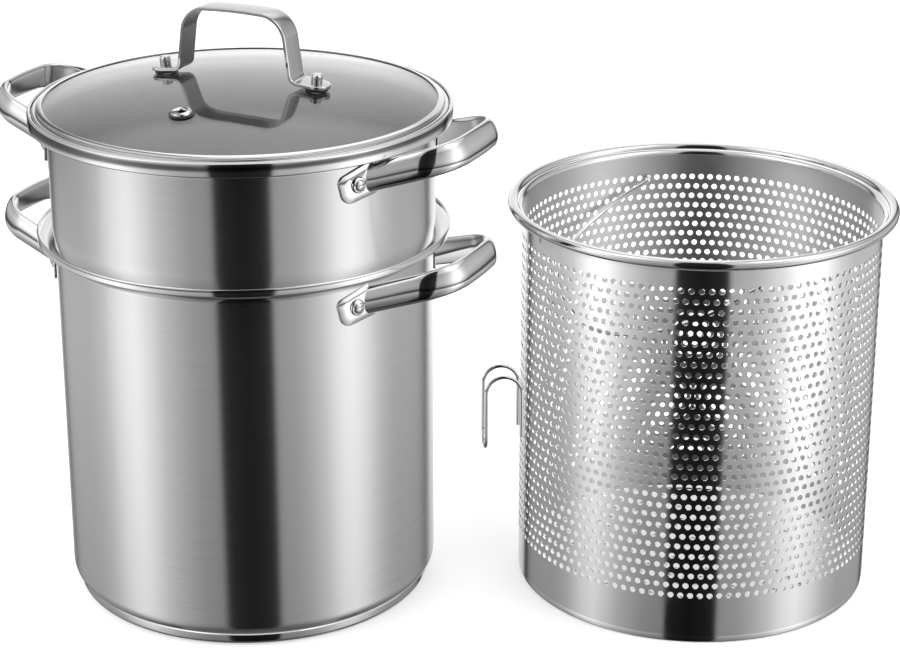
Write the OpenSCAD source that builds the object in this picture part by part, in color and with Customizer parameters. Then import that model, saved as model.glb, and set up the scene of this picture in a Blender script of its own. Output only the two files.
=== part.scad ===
// Asparagus pot set in stainless steel: a tall pot, a steamer stacked on it under a domed glass lid,
// and a deep perforated basket that stands beside them. Millimetres, +Z up.
// The origin is the centre of the pot's base, on the surface that everything stands on.

/* [Sheet metal] */
// Thickness of the pot's and the steamer's sheet
sheet = 1; // [0.8:0.1:1.4]
// Thickness of the basket's sheet
basket_sheet = 0.8; // [0.6:0.1:1.2]
// Clearance between pieces that seat on each other
seat_gap = 0.1; // [0.05:0.05:0.3]

/* [Pot] */
// Outside diameter of the pot's wall
pot_d = 240; // [220:1:280]
// Height of the pot's lip above the table
pot_h = 244; // [200:1:300]
// Outside radius of the corner between the wall and the bottom
pot_corner = 10; // [7:0.5:15]
// Height of the clad base under the pot's bottom
base_h = 6; // [4:0.5:8]
// How far the clad base wraps up the pot's corner
base_wrap = 1.2; // [0.5:0.1:2]

/* [Lip of the pot and the steamer] */
// Height of the flared lip, from the wall to its top
lip_h = 13; // [12:0.5:16]
// Radius of the flare
flare_r = 8.4; // [7:0.2:9]
// Thickness of the lip's turned-down edge
lip_edge = 2.2; // [1.8:0.1:2.4]
// Height of the turned-down edge of the pot's lip
pot_edge_h = 5.4; // [5:0.1:8]
// Height of the turned-down edge of the steamer's lip
steamer_edge_h = 9; // [6:0.1:9.4]

/* [Steamer] */
// Height of the steamer's lip above the pot's lip
steamer_rise = 78; // [60:1:100]
// How far the steamer's wall stands out past the pot's wall
steamer_step = 1.8; // [1:0.1:3]
// Radius of the long shoulder that seats in the pot's lip
shoulder_r = 60; // [45:1:80]
// Depth of the steamer's bottom below the pot's lip
steamer_drop = 30; // [24:1:40]
// Radial clearance between the steamer's lower wall and the rivets inside the pot
nest_gap = 0.5; // [0.4:0.1:1]
// Diameter of a steam hole
steam_hole = 6; // [4:0.5:8]
// Distance between the rings of steam holes
steam_pitch = 19; // [14:1:22]

/* [Lid] */
// Thickness of the tempered glass
glass_t = 4; // [3:0.5:5]
// Height of the dome from its edge to its centre
dome_h = 15; // [13:1:22]
// Radius of the bead round the lid's rim
rim_bead = 1.7; // [1.4:0.1:1.8]
// How far the rim's bead sits inside the outer face of the lip
rim_inset = 4.4; // [4.3:0.1:5.5]
// Thickness of the folded sheet that grips the glass
rim_sheet = 0.8; // [0.6:0.1:1]
// Width of glass that the rim covers
rim_cover = 2.6; // [2:0.1:4]
// Distance of the steam vent from the lid's centre
vent_at = 74; // [65:1:85]
// Diameter of the steam vent's flange
vent_d = 13; // [11:0.5:16]

/* [Lid handle] */
// Distance between the two bolts
bolt_span = 106; // [96:1:116]
// Height of the handle's top above the lip
lid_handle_rise = 61; // [56:1:70]
// Width of the handle's strap
strap_w = 18; // [14:1:22]
// Thickness of the handle's strap
strap_t = 2.5; // [2:0.1:3]
// Diameter of a bolt's shank
bolt_d = 5; // [4:0.5:6]
// Thickness of the soft washer under each foot
washer_t = 2; // [1.5:0.1:2.5]

/* [Side handles] */
// Direction of the handles round the pot, from +X
handle_turn = -24; // [-60:0.5:60]
// Distance from the pot's axis to the handle's outer end
handle_reach = 165; // [162:1:180]
// Distance between the two rivets of a handle, along the wall
rivet_span = 118; // [108:1:126]
// Depth of the rivets below the lip
rivet_drop = 24; // [23:0.5:28]
// Height of the handle's band
band_h = 17.5; // [14:0.5:19]
// Greatest thickness of the handle's band
band_t = 5.6; // [4.5:0.1:7]
// Upward slope of the handle
handle_slope = 17; // [10:1:22]
// Thickness of the riveted foot
foot_t = 1.8; // [1.4:0.1:2.2]
// Room between the foot and the wall
foot_gap = 0.3; // [0.3:0.05:0.5]
// Diameter of a rivet's shank
rivet_d = 5; // [4:0.5:6]
// Thickness of a rivet's flat head inside the wall
rivet_inside = 1.2; // [0.8:0.1:1.6]

/* [Basket] */
// Place of the basket's axis along X
basket_x = 292; // [284:1:340]
// Place of the basket's axis along Y
basket_y = 2; // [-20:1:30]
// Outside diameter of the basket's wall
basket_d = 230; // [210:1:234]
// Height of the basket
basket_h = 258; // [210:1:290]
// Radius of the basket's rolled bead
basket_bead = 3.2; // [2.6:0.1:3.8]
// Height of the flanged edge at the basket's foot
foot_lip = 4.5; // [3:0.5:6]
// Height of the lowest row of holes above the table
holes_from = 37; // [34:1:50]
// Height of the highest row of holes below the basket's top
holes_to = 37; // [35:1:48]
// Rows of holes in the wall
hole_rows = 10; // [6:1:12]
// Holes in one row
holes_round = 36; // [20:2:40]
// Diameter of a hole, drawn three times the real one, as the rows are spread
hole_d = 12.4; // [8:0.2:13]

/* [Bail and hook] */
// Diameter of the bail's wire
bail_wire = 2.8; // [2.2:0.1:3.4]
// Diameter of the holes that the bail turns in
pivot_hole = 4.2; // [3.8:0.1:5]
// Depth of the bail's pivots below the basket's top
pivot_drop = 22; // [20:0.5:26]
// Direction of the bail's pivots round the basket
pivot_turn = 103; // [95:1:120]
// Distance from the pivots to the crown of the bail
bail_reach = 97; // [80:1:97]
// Angle at which the bail lies folded below level
bail_fold = 28; // [20:1:60]
// Diameter of the hook's wire
hook_wire = 2.4; // [2:0.1:3]
// Direction of the hook round the basket
hook_turn = 185; // [180:1:200]
// Height of the top of the hook above the table
hook_top = 144; // [110:1:190]
// Length of the hook, from its top to the bend that joins its outer legs
hook_len = 54; // [46:1:64]
// Distance between the hook's two wires
hook_gap = 20; // [12:0.5:22]
// Distance between a wire's inner and outer leg
hook_reach = 23; // [18:0.5:26]

/* [Hidden] */
$fn = 96;
eps = 0.01;

steel = [0.78, 0.78, 0.79];
polished = [0.86, 0.86, 0.87];
silicone = [0.25, 0.25, 0.26];
clear = [0.75, 0.8, 0.8, 0.4];

pot_r = pot_d / 2;
steamer_r = pot_r + steamer_step;
lip_z = pot_h + steamer_rise;
lip_out = flare_r + lip_edge + 0.8;

// The lid's bead rests on the flare of the steamer's lip
lid_rim_r = steamer_r + lip_out - rim_inset;
lid_rim_z = lip_z - lip_h + sqrt(pow(flare_r + sheet + rim_bead + seat_gap, 2)
    - pow(steamer_r + flare_r - lid_rim_r, 2));
glass_r = lid_rim_r - rim_bead - rim_sheet + 0.1;
glass_edge_z = lid_rim_z + glass_t - 1;
dome_r = (pow(glass_r, 2) + pow(dome_h, 2)) / (2 * dome_h);
dome_c = glass_edge_z + dome_h - dome_r;

basket_r = basket_d / 2;

// Room that a rivet's flat head needs on the round wall
head_clear = 0.2;

// Shapes shared by several pieces

// Quarter of a ring in the upper left of its centre, as the section of a flare
module flare_section(r, t) {
    intersection() {
        difference() {
            circle(r + t);
            circle(r);
        }
        translate([-r - t, 0]) square(r + t);
    }
}

// Quarter of a ring in the lower right of its centre, as the section of a rounded corner
module corner_section(r, t) {
    intersection() {
        difference() {
            circle(r);
            circle(r - t);
        }
        translate([0, -r]) square(r);
    }
}

// Section of the flared lip with its turned-down edge, for a wall of outside radius r and a top at z
module lip_section(r, z, edge_h) {
    half = lip_edge / 2;
    translate([r + flare_r, z - lip_h]) flare_section(flare_r, sheet);
    translate([r + flare_r - eps, z - lip_h + flare_r]) square([lip_out - flare_r - half, sheet]);
    translate([r + lip_out - lip_edge, z - edge_h + half]) square([lip_edge, edge_h - lip_edge]);
    for (y = [z - half, z - edge_h + half]) translate([r + lip_out - half, y]) circle(half);
}

// Section of a wall, a rounded corner and a flat bottom, of outside radius r, from z0 up to z1.
// The bottom is drawn from radius r0 outwards
module pan_section(r, corner, z0, z1, t, r0 = 0) {
    translate([r - t, z0 + corner]) square([t, z1 - z0 - corner]);
    translate([r - corner, z0 + corner]) corner_section(corner, t);
    translate([r0, z0]) square([r - corner - r0, t]);
}

function turned(p, a) = [p[0] * cos(a) - p[1] * sin(a), p[0] * sin(a) + p[1] * cos(a)];
function unit(v) = v / norm(v);

// Points of an arc of radius r that rounds the corner at v, between p and q
function rounded(p, v, q, r, n) =
    let (u = unit(p - v), w = unit(q - v),
         half = acos(u * w) / 2,
         c = v + unit(u + w) * r / sin(half),
         a0 = v + u * r / tan(half) - c,
         turn = cross(u, w) > 0 ? -1 : 1)
    [for (i = [0 : n]) c + turned(a0, turn * i / n * (180 - 2 * half))];

// Pot

module pot_body() {
    color(steel) difference() {
        rotate_extrude() {
            pan_section(pot_r, pot_corner, base_h, pot_h - lip_h, sheet);
            lip_section(pot_r, pot_h, pot_edge_h);
        }
        rivet_holes(pot_r, pot_h);
    }
}

// Aluminium disc in a steel cap, pressed on under the bottom and a little way up the corner
base_r = pot_r - pot_corner + sqrt(pow(pot_corner, 2) - pow(pot_corner - base_wrap, 2)) + 0.9;
base_round = 3.5;

module pot_base() {
    color(polished) rotate_extrude() difference() {
        union() {
            square([base_r - base_round, base_h + base_wrap]);
            translate([0, base_round]) square([base_r, base_h + base_wrap - base_round]);
            translate([base_r - base_round, base_round]) circle(base_round);
        }
        translate([0, base_h - seat_gap]) square([pot_r - pot_corner, 2 * base_wrap]);
        translate([pot_r - pot_corner, base_h + pot_corner]) circle(pot_corner + seat_gap);
    }
}

// Steamer

steamer_z0 = pot_h - steamer_drop;
steamer_low_r = pot_r - sheet - head_clear - rivet_inside - nest_gap;
steamer_corner = 8;
// The shoulder's arc touches the flare of the pot's lip
shoulder_c = pot_h - lip_h + sqrt(pow(shoulder_r + flare_r + sheet + seat_gap, 2)
    - pow(shoulder_r + flare_r - steamer_step, 2));
shoulder_end = shoulder_c - sqrt(pow(shoulder_r, 2) - pow(shoulder_r - steamer_r + steamer_low_r, 2));

module steamer_section() {
    lip_section(steamer_r, lip_z, steamer_edge_h);
    translate([steamer_r - sheet, shoulder_c - 0.2]) square([sheet, lip_z - lip_h - shoulder_c + 0.2]);
    intersection() {
        translate([steamer_r - shoulder_r, shoulder_c]) difference() {
            circle(shoulder_r, $fn = 360);
            circle(shoulder_r - sheet, $fn = 360);
        }
        translate([steamer_low_r - 2 * sheet, shoulder_end]) square([4 * sheet + steamer_step, shoulder_c - shoulder_end]);
    }
    pan_section(steamer_low_r, steamer_corner, steamer_z0, shoulder_end + 0.5, sheet, steamer_low_r - steamer_corner - 2);
}

module steamer_body() {
    rings = floor((steamer_low_r - steamer_corner - steam_hole) / steam_pitch);
    color(steel) {
        difference() {
            rotate_extrude() steamer_section();
            rivet_holes(steamer_r, lip_z);
        }
        translate([0, 0, steamer_z0]) linear_extrude(sheet) difference() {
            circle(steamer_low_r - steamer_corner);
            for (ring = [0 : rings]) for (i = [0 : max(1, 6 * ring) - 1])
                rotate(i * 360 / max(1, 6 * ring)) translate([ring * steam_pitch, 0]) circle(d = steam_hole, $fn = 8);
        }
    }
}

// Side handles: a hollow-looking band bent to a loop, with a flat foot riveted on at each end

foot_back = 13;
foot_h = 20;
band_foot = 10;
loop_corner = 24;
loop_half = 38;
end_bow = 3;
section_sides = 16;

// Half the angle between a handle's rivets, and the loop's start beside a rivet
function rivet_angle(r) = rivet_span / 2 / r * 180 / PI;

// Path of the loop in its own sloping plane, from one foot to the other
function loop_path(r) =
    let (a = rivet_angle(r) - band_foot / r * 180 / PI,
         x0 = r * cos(a), y0 = r * sin(a),
         s1 = (handle_reach - band_t / 2 - x0) / cos(handle_slope) - end_bow,
         p = [0, y0], v = [s1, loop_half], w = [s1, -loop_half], q = [0, -y0],
         path = concat([p, p + (v - p) * 0.25, p + (v - p) * 0.45], rounded(p, v, w, loop_corner, 9), [[s1, 0]],
             rounded(v, w, q, loop_corner, 9), [q + (w - q) * 0.45, q + (w - q) * 0.25, q]))
    [for (e = path) [e[0] + end_bow * max(0, 1 - pow(e[1] / loop_half, 2)), e[1]]];

// Section of the band: round outside, nearly flat inside. x is outward, y is up the band
function band_point(k) =
    let (a = 360 * k / section_sides, c = cos(a), s = sin(a))
    [(c > 0 ? 0.62 * band_t * c : 0.38 * band_t * -pow(-c, 0.6)), band_h / 2 * sign(s) * pow(abs(s), 0.75)];

// The point where a line from p along d meets a cylinder of radius r round the Z axis
function onto_cylinder(p, d, r) =
    let (a = d[0] * d[0] + d[1] * d[1], b = p[0] * d[0] + p[1] * d[1], c = p[0] * p[0] + p[1] * p[1] - r * r)
    p + d * (-b + sqrt(b * b - a * c)) / a;

module handle_band(r, z) {
    path = loop_path(r);
    n = len(path);
    m = section_sides;
    x0 = r * cos(rivet_angle(r) - band_foot / r * 180 / PI);
    up = [-sin(handle_slope), 0, cos(handle_slope)];
    tangents = [for (i = [0 : n - 1]) unit(path[min(i + 1, n - 1)] - path[max(i - 1, 0)])];
    place = function (p) [x0 + p[0] * cos(handle_slope), p[1], z + p[0] * sin(handle_slope)];
    ring = function (i) [for (k = [0 : m - 1])
        let (t = tangents[i], out = [-t[1], t[0]], b = band_point(k), e = place(path[i] + out * b[0]))
        e + up * b[1]];
    foot_way = function (i) let (t = tangents[i]) place(t) - place([0, 0]);
    first = [for (p = ring(0)) onto_cylinder(p, foot_way(0), r + foot_t * 0.6)];
    last = [for (p = ring(n - 1)) onto_cylinder(p, -foot_way(n - 1), r + foot_t * 0.6)];
    rings = concat([first], [for (i = [1 : n - 2]) ring(i)], [last]);
    centre_first = onto_cylinder(place(path[0]), foot_way(0), r + foot_t * 0.6);
    centre_last = onto_cylinder(place(path[n - 1]), -foot_way(n - 1), r + foot_t * 0.6);
    points = concat([for (ring = rings) each ring], [centre_first, centre_last]);
    sides = [for (i = [0 : n - 2], k = [0 : m - 1])
        each [[i * m + k, (i + 1) * m + k, i * m + (k + 1) % m],
              [i * m + (k + 1) % m, (i + 1) * m + k, (i + 1) * m + (k + 1) % m]]];
    caps = [for (k = [0 : m - 1])
        each [[n * m, k, (k + 1) % m], [n * m + 1, (n - 1) * m + (k + 1) % m, (n - 1) * m + k]]];
    polyhedron(points, concat(sides, caps));
}

// Outline of a foot round its rivet: x runs towards the loop, and the back corners are rounded
module foot_outline() {
    end = band_foot + 2;
    high = band_h / 2 + 2;
    a = [end, high]; b = [-foot_back, foot_h / 2 - 1]; c = [-foot_back, -foot_h / 2 + 1]; d = [end, -high];
    rotate(handle_slope * 0.8) polygon(concat([a], rounded(a, b, c, 5, 4), rounded(b, c, d, 7, 4), [d]));
}

// A foot lies on the wall of radius r, with its rivet at z
module handle_foot(r, z, side) {
    rotate(side * rivet_angle(r)) difference() {
        intersection() {
            translate([0, 0, z - 1.2 * foot_h]) difference() {
                cylinder(r = r + foot_t, h = 2.4 * foot_h);
                translate([0, 0, -1]) cylinder(r = r, h = 2.4 * foot_h + 2);
            }
            translate([r - 10, 0, z]) rotate([90, 0, 90]) mirror([side > 0 ? 1 : 0, 0]) linear_extrude(20) foot_outline();
        }
        translate([r - 10, 0, z]) rotate([0, 90, 0]) cylinder(d = rivet_d + 2 * seat_gap, h = 20);
    }
}

// A handle on a wall of outside radius wall, under a lip at height z
module side_handle(wall, z) {
    r = wall + foot_gap;
    zr = z - rivet_drop;
    rise = band_foot * sin(handle_slope * 0.8);
    color(polished) union() {
        handle_band(r, zr + rise);
        for (side = [-1, 1]) handle_foot(r, zr, side);
    }
}

// Puts its children at the four rivets of a vessel, with Z pointing outwards along the rivet
module at_rivets(wall, z) {
    for (turn = [0, 180], side = [-1, 1])
        rotate(handle_turn + turn + side * rivet_angle(wall + foot_gap)) translate([0, 0, z - rivet_drop])
            rotate([0, 90, 0]) children();
}

module rivet_holes(wall, z) {
    at_rivets(wall, z) translate([0, 0, wall - 5]) cylinder(d = rivet_d + 2 * seat_gap, h = 10);
}

// Rivets: a low round head outside, a flat one inside
module rivets(wall, z) {
    head_d = 10.5;
    head_h = 2.4;
    r_out = wall + foot_gap + foot_t + seat_gap + head_clear;
    r_in = wall - sheet - head_clear;
    color(polished) at_rivets(wall, z) {
        translate([0, 0, r_in - rivet_inside / 2]) cylinder(d = rivet_d, h = r_out - r_in + rivet_inside / 2 + 1);
        translate([0, 0, r_out]) cylinder(d1 = head_d, d2 = head_d * 0.62, h = head_h);
        translate([0, 0, r_in - rivet_inside]) cylinder(d = head_d * 0.85, h = rivet_inside);
    }
}

// Lid

// Puts its children on the dome's outer face, at distance d from the axis, with Z as the normal
module on_dome(d, turn) {
    rotate(turn) translate([0, 0, dome_c]) rotate([0, asin(d / dome_r), 0]) translate([0, 0, dome_r]) children();
}

bolt_at = bolt_span / 2;
glass_hole = 8;
vent_hole = 9;

module at_bolts() {
    for (turn = [0, 180]) on_dome(bolt_at, handle_turn + turn) children();
}

module at_vent() {
    on_dome(vent_at, handle_turn - 90) children();
}

// Section of a layer that follows the dome from radius r0 to r1, between two heights above its outer face
module dome_layer(r0, r1, low, high) {
    intersection() {
        translate([0, dome_c]) difference() {
            circle(dome_r + high, $fn = 720);
            circle(dome_r + low, $fn = 720);
        }
        translate([r0, glass_edge_z - 3 * glass_t]) square([r1 - r0, dome_h + 6 * glass_t]);
    }
}

module lid_glass() {
    color(clear) difference() {
        rotate_extrude() dome_layer(0, glass_r, -glass_t, 0);
        at_bolts() translate([0, 0, -2 * glass_t]) cylinder(d = glass_hole, h = 4 * glass_t);
        at_vent() translate([0, 0, -2 * glass_t]) cylinder(d = vent_hole, h = 4 * glass_t);
    }
}

// The rim is one folded strip: a leg over the glass, a leg under it, and a bead that rests on the lip
module lid_rim() {
    web_low = glass_edge_z - glass_t - seat_gap - rim_sheet;
    color(polished) rotate_extrude() {
        dome_layer(glass_r - rim_cover, glass_r + rim_sheet, seat_gap, seat_gap + rim_sheet);
        dome_layer(glass_r - rim_cover, glass_r + rim_sheet, -glass_t - seat_gap - rim_sheet, -glass_t - seat_gap);
        translate([glass_r + seat_gap, web_low]) square([rim_sheet, glass_t + 2 * rim_sheet + 2 * seat_gap - 0.3]);
        translate([lid_rim_r, lid_rim_z]) circle(rim_bead);
    }
}

// Centre line of half of the handle's strap, from the middle of the top to the tip of the foot.
// x runs from the lid's axis towards the bolt, y is up
foot_lift = seat_gap * 2 + washer_t + strap_t / 2;
bolt_tilt = asin(bolt_at / dome_r);
foot_p = [(dome_r + foot_lift) * sin(bolt_tilt), dome_c + (dome_r + foot_lift) * cos(bolt_tilt)];
foot_way = [cos(bolt_tilt), -sin(bolt_tilt)];
foot_tip = 9;
strap_top = lip_z + lid_handle_rise - strap_t / 2;
strap_shoulder = 37;
strap_half = concat(
    [[0, strap_top]],
    rounded([0, strap_top], [strap_shoulder - 3, strap_top - 1], foot_p - foot_way * 14, 17, 8),
    rounded([strap_shoulder - 3, strap_top - 1], foot_p - foot_way * 14, foot_p, 5, 5),
    [foot_p + foot_way * foot_tip]
);
strap_line = concat([for (i = [len(strap_half) - 1 : -1 : 1]) [-strap_half[i][0], strap_half[i][1]]], strap_half);

function side_line(path, d) = [for (i = [0 : len(path) - 1])
    let (t = unit(path[min(i + 1, len(path) - 1)] - path[max(i - 1, 0)])) path[i] + [-t[1], t[0]] * d];

module lid_handle() {
    above = side_line(strap_line, strap_t / 2);
    below = side_line(strap_line, -strap_t / 2);
    tip_x = strap_half[len(strap_half) - 1][0];
    color(steel) rotate(handle_turn) difference() {
        intersection() {
            translate([0, strap_w / 2, 0]) rotate([90, 0, 0]) linear_extrude(strap_w)
                polygon(concat(above, [for (i = [len(below) - 1 : -1 : 0]) below[i]]));
            translate([0, 0, lip_z]) linear_extrude(lid_handle_rise + 5) union() {
                square([2 * tip_x - strap_w, strap_w], center = true);
                for (side = [-1, 1]) translate([side * (tip_x - strap_w / 2), 0]) circle(d = strap_w);
            }
        }
        for (side = [-1, 1]) translate([side * foot_p[0], 0, foot_p[1]]) rotate([0, side * bolt_tilt, 0])
            translate([0, 0, -10]) cylinder(d = bolt_d + 2 * seat_gap, h = 20);
    }
}

bolt_low = -glass_t - 8;
strap_face = 2 * seat_gap + washer_t + strap_t;

module lid_bolts() {
    head_d = 7;
    head_h = 5.5;
    color(polished) at_bolts() {
        translate([0, 0, bolt_low]) cylinder(d = bolt_d, h = strap_face + seat_gap - bolt_low + 1);
        translate([0, 0, strap_face + seat_gap]) rotate_extrude() {
            square([head_d / 2, head_h - 1.5]);
            square([head_d / 2 - 1.5, head_h]);
            translate([head_d / 2 - 1.5, head_h - 1.5]) circle(1.5);
        }
    }
}

// A soft washer with a sleeve keeps the steel off the glass
module washer(d, h, sleeve) {
    difference() {
        union() {
            cylinder(d = d, h = h);
            translate([0, 0, -sleeve]) cylinder(d = glass_hole - 2 * seat_gap, h = sleeve + eps);
        }
        translate([0, 0, -sleeve - 1]) cylinder(d = bolt_d + 2 * seat_gap, h = h + sleeve + 2);
    }
}

module lid_washers() {
    color(silicone) at_bolts() translate([0, 0, seat_gap]) washer(15, washer_t, glass_t - 1);
}

module lid_inner_washers() {
    color(polished) at_bolts() translate([0, 0, -glass_t - seat_gap - 1.2]) difference() {
        cylinder(d = 14, h = 1.2);
        translate([0, 0, -1]) cylinder(d = bolt_d + 2 * seat_gap, h = 4);
    }
}

module lid_nuts() {
    top = -glass_t - 2 * seat_gap - 1.2;
    color(polished) at_bolts() difference() {
        union() {
            translate([0, 0, top - 4]) cylinder(d = 9, h = 4, $fn = 6);
            translate([0, 0, bolt_low - 1]) cylinder(d = 7.6, h = top - 4 - bolt_low + 1 + eps);
        }
        translate([0, 0, bolt_low - seat_gap]) cylinder(d = bolt_d + 2 * seat_gap, h = 20);
    }
}

// Steam vent: an eyelet clenched through a thin seal, open right through
module lid_vent() {
    color(polished) at_vent() difference() {
        union() {
            translate([0, 0, 2 * seat_gap + 0.8]) cylinder(d1 = vent_d, d2 = vent_d - 2.5, h = 1.6);
            translate([0, 0, -glass_t - 1.2 - seat_gap]) cylinder(d = vent_hole - 1.2, h = glass_t + 3);
            translate([0, 0, -glass_t - 1.2 - seat_gap]) cylinder(d = vent_d - 1, h = 1.2);
        }
        translate([0, 0, -2 * glass_t]) cylinder(d = vent_hole - 3, h = 4 * glass_t);
    }
}

module lid_vent_seal() {
    color(silicone) at_vent() translate([0, 0, seat_gap]) difference() {
        cylinder(d = vent_d + 3, h = 0.8);
        translate([0, 0, -1]) cylinder(d = vent_hole - 1.2 + 2 * seat_gap, h = 3);
    }
}

// Basket

basket_flare = 3;
basket_bead_at = basket_r + basket_flare + basket_bead - 0.2;

module at_basket() {
    translate([basket_x, basket_y, 0]) children();
}

module basket_wall_section() {
    zc = basket_h - basket_bead - basket_flare - basket_sheet;
    translate([basket_r - basket_sheet, foot_lip + seat_gap]) square([basket_sheet, zc - foot_lip - seat_gap]);
    translate([basket_r + basket_flare, zc]) flare_section(basket_flare, basket_sheet);
    translate([basket_bead_at, basket_h - basket_bead]) circle(basket_bead);
}

// Staggered rows of holes, left out where a pivot hole or the hook's wires need whole sheet
module wall_holes() {
    rise = (basket_h - holes_to - holes_from) / (hole_rows - 1);
    for (row = [0 : hole_rows - 1], i = [0 : holes_round - 1])
        translate([0, 0, holes_from + row * rise]) rotate((i + (row % 2) / 2) * 360 / holes_round)
            translate([basket_r - 5, 0, 0]) rotate([0, 90, 0]) cylinder(d = hole_d, h = 10, $fn = 6);
}

module basket_wall() {
    color(polished) at_basket() difference() {
        rotate_extrude() basket_wall_section();
        wall_holes();
        rotate(pivot_turn) translate([0, 0, basket_h - pivot_drop]) rotate([0, 90, 0])
            cylinder(d = pivot_hole, h = 3 * basket_r, center = true);
    }
}

// The floor is a perforated disc whose edge is folded to a ring that the wall stands on
foot_w = 5;
foot_in = 0.4;
foot_round = 1.2;

module basket_floor() {
    raise = 2.5;
    pitch = 20;
    rings = floor((basket_r - 12) / pitch);
    color(polished) at_basket() {
        rotate_extrude() {
            translate([basket_r - foot_w, foot_round]) square([foot_w - foot_in, foot_lip - foot_round]);
            translate([basket_r - foot_w + foot_round, 0]) square([foot_w - foot_in - 2 * foot_round, foot_lip]);
            for (x = [foot_w - foot_round, foot_in + foot_round]) translate([basket_r - x, foot_round]) circle(foot_round);
        }
        translate([0, 0, raise]) linear_extrude(basket_sheet) difference() {
            circle(basket_r - 3);
            for (ring = [1 : rings]) for (i = [0 : 6 * ring - 1])
                rotate(i * 60 / ring) translate([ring * pitch, 0]) circle(d = 8, $fn = 6);
        }
    }
}

// Hook: one wire bent double, its two inner legs welded to the wall and its outer legs joined by a bend
hook_r = hook_reach / 2;

module wire_arc(r, d, angle) {
    rotate_extrude(angle = angle) translate([r, 0]) circle(d = d, $fn = 24);
}

module basket_hook() {
    zc = hook_top - hook_r - hook_wire / 2;
    outer_leg = zc - hook_top + hook_len - (hook_gap + hook_wire) / 2;
    inner_leg = outer_leg + 0.5;
    x0 = sqrt(pow(basket_r + hook_wire / 2 + seat_gap, 2) - pow(hook_gap / 2, 2));
    color(polished) at_basket() rotate(hook_turn) {
        for (side = [-1, 1]) translate([x0, side * hook_gap / 2, zc]) {
            translate([hook_r, 0, 0]) rotate([90, 0, 0]) wire_arc(hook_r, hook_wire, 180);
            translate([0, 0, -inner_leg]) cylinder(d = hook_wire, h = inner_leg + eps, $fn = 24);
            translate([2 * hook_r, 0, -outer_leg]) cylinder(d = hook_wire, h = outer_leg + eps, $fn = 24);
        }
        translate([x0 + 2 * hook_r, 0, zc - outer_leg]) rotate([0, 90, 0]) rotate(-90)
            wire_arc(hook_gap / 2, hook_wire, 180);
    }
}

// Bail: a wire bow inside the wall, its two ends turned out through the pivot holes.
// It is drawn level in the XY plane, pivots along Y, then folded down and turned to its place
bail_side = basket_r - basket_sheet - bail_wire / 2 - 3.3;
bail_lead = 9;
bail_bow = bail_reach - bail_lead;

module bail_wire_shape() {
    side_r = bail_bow;
    crown = bail_side - side_r;
    for (side = [-1, 1]) mirror([0, side < 0 ? 1 : 0, 0]) {
        translate([0, bail_side, 0]) rotate([-90, 0, 0])
            cylinder(d = bail_wire, h = basket_r + 3.5 - bail_side, $fn = 24);
        translate([0, bail_side, 0]) sphere(d = bail_wire, $fn = 24);
        translate([0, bail_side, 0]) rotate([0, 90, 0]) cylinder(d = bail_wire, h = bail_lead, $fn = 24);
        translate([bail_lead, crown, 0]) wire_arc(side_r, bail_wire, 90);
        translate([bail_lead + side_r, 0, 0]) rotate([-90, 0, 0]) cylinder(d = bail_wire, h = crown + eps, $fn = 24);
    }
}

module basket_bail() {
    color(polished) at_basket() translate([0, 0, basket_h - pivot_drop]) rotate(pivot_turn + 90)
        rotate([0, bail_fold, 0]) bail_wire_shape();
}

pot_body();
pot_base();
rotate(handle_turn) side_handle(pot_r, pot_h);  // pot_handle_right
rotate(handle_turn + 180) side_handle(pot_r, pot_h);  // pot_handle_left
rivets(pot_r, pot_h);  // pot_rivets
steamer_body();
rotate(handle_turn) side_handle(steamer_r, lip_z);  // steamer_handle_right
rotate(handle_turn + 180) side_handle(steamer_r, lip_z);  // steamer_handle_left
rivets(steamer_r, lip_z);  // steamer_rivets
lid_glass();
lid_rim();
lid_handle();
lid_bolts();
lid_washers();
lid_inner_washers();
lid_nuts();
lid_vent();
lid_vent_seal();
basket_wall();
basket_floor();
basket_hook();
basket_bail();
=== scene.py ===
import bpy
from math import acos, asin, atan2, cos, degrees, hypot, pi, radians, sin, sqrt, tan
from mathutils import Matrix, Vector
from mathutils.geometry import delaunay_2d_cdt


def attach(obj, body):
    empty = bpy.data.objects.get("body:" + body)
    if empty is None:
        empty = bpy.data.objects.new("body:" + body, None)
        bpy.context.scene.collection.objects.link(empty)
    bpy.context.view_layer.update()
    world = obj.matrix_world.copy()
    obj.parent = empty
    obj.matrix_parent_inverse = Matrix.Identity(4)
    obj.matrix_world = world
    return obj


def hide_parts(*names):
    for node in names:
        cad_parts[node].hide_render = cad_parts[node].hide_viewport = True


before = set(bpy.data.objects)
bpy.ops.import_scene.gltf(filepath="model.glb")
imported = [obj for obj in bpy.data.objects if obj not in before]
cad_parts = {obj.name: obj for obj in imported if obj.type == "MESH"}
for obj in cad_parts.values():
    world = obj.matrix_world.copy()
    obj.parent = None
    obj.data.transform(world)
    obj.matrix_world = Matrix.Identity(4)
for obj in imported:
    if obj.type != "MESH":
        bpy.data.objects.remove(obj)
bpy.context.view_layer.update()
scene = bpy.context.scene
scene.view_settings.view_transform = "Standard"

# Camera: it stands 1.5 m in front of the set and looks down at it, as a catalogue picture does.
# Its lens is long, and the picture is 900 by 650.
picture_w, lens_px = 900, 2475
camera_at = (0.131, -1.500, 0.746)
look_down = 20.95
bpy.ops.object.camera_add(location=camera_at, rotation=(radians(90 - look_down), 0, 0))
camera = bpy.context.object
camera.data.sensor_width = 36
camera.data.lens = lens_px / picture_w * camera.data.sensor_width
camera.data.clip_start = 0.01
scene.camera = camera


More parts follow.
